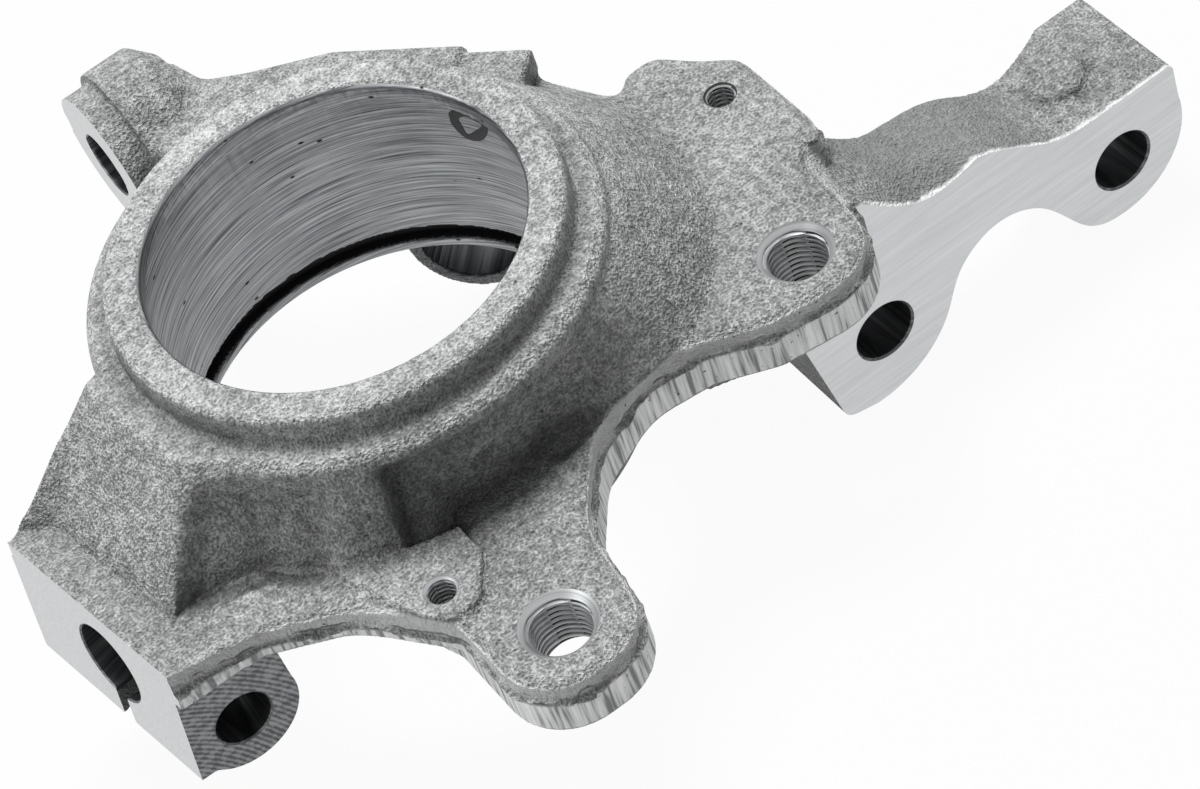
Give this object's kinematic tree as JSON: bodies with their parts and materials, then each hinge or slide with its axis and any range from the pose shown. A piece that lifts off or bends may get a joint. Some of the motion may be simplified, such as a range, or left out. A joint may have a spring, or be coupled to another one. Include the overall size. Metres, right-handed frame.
{
  "type": "steering knuckle",
  "caption": "Cast steering knuckle: open bearing collar with circlip groove, flange with threaded caliper and shield ears, offset strut lug, slotted stud clamp and steering arm.",
  "frame": {"origin": "middle of the bearing seat, on the bearing axis", "axes": "+Z runs outboard along the bearing axis to the shouldered rim, +X runs up towards the strut lug, +Y runs from the caliper side towards the steering arm"},
  "size_m": [0.2209, 0.1814, 0.0791],
  "materials": {
    "cast_iron": "as-cast shot-blasted iron with bright machined faces"
  },
  "bodies": {
    "root": {"knuckle_casting": "cast_iron"}
  },
  "joints": []
}
